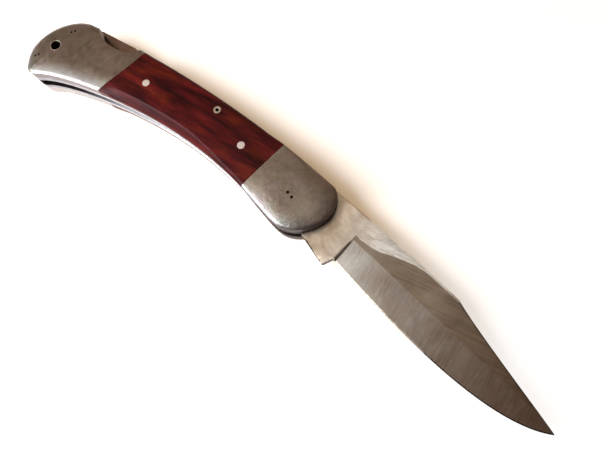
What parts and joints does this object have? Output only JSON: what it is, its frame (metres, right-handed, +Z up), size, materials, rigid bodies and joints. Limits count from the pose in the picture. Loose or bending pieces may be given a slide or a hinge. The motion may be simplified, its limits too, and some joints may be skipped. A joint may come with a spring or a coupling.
{
  "type": "folding pocket knife",
  "caption": "Lock-back folding knife with a clip-point blade, steel bolsters, wood scales and a rocking lock bar in the spine.",
  "frame": {"origin": "on the pivot's axis, in the plane of the lower outer faces that the knife lies on", "axes": "+X from the butt to the tip, +Y from the belly to the spine, +Z up through the thickness"},
  "size_m": [0.2138, 0.0312, 0.014],
  "materials": {
    "blade_steel": "brushed across, satin",
    "bolster_steel": "fine satin",
    "liner_steel": "ground edge",
    "spring_steel": "satin, slightly browned",
    "pin_metal": "ground flush",
    "rivet_metal": "satin",
    "scale_wood": "oiled, polished"
  },
  "bodies": {
    "handle": {"butt_spacer": "liner_steel", "front_bolster_upper": "bolster_steel", "front_bolster_lower": "bolster_steel", "rear_bolster_upper": "bolster_steel", "rear_bolster_lower": "bolster_steel", "scale_upper": "scale_wood", "scale_lower": "scale_wood", "liner_upper": "liner_steel", "liner_lower": "liner_steel", "pivot_barrel": "bolster_steel", "pivot_screw": "bolster_steel", "butt_top_barrel": "bolster_steel", "butt_top_screw": "bolster_steel", "butt_low_barrel": "bolster_steel", "butt_low_screw": "bolster_steel", "scale_pin_front_upper": "pin_metal", "scale_pin_front_lower": "pin_metal", "scale_pin_rear_upper": "pin_metal", "scale_pin_rear_lower": "pin_metal", "lock_rivet": "rivet_metal", "lanyard_tube": "pin_metal"},
    "blade": {"blade": "blade_steel"},
    "lock_bar": {"lock_bar": "spring_steel"},
    "lock_spring": {"lock_spring": "spring_steel"}
  },
  "joints": [
    {"name": "blade_fold", "type": "hinge", "parent": "handle", "child": "blade", "pos_m": [0, 0, 0.007], "axis": [0, 0, -1], "range_deg": [0, 171]},
    {"name": "lock_rock", "type": "hinge", "parent": "handle", "child": "lock_bar", "pos_m": [-0.0385, 0.0101, 0.007], "axis": [0, 0, 1], "range_deg": [0, 3], "stiffness_Nm_per_rad": 12, "springref_deg": -1.72},
    {"name": "spring_flex", "type": "hinge", "parent": "handle", "child": "lock_spring", "pos_m": [-0.1036, 0.002, 0.007], "axis": [0, 0, -1], "range_deg": [0, 8.4]}
  ],
  "couplings": [
    {"joint": "spring_flex", "follows": "lock_rock", "ratio": 2.8}
  ]
}
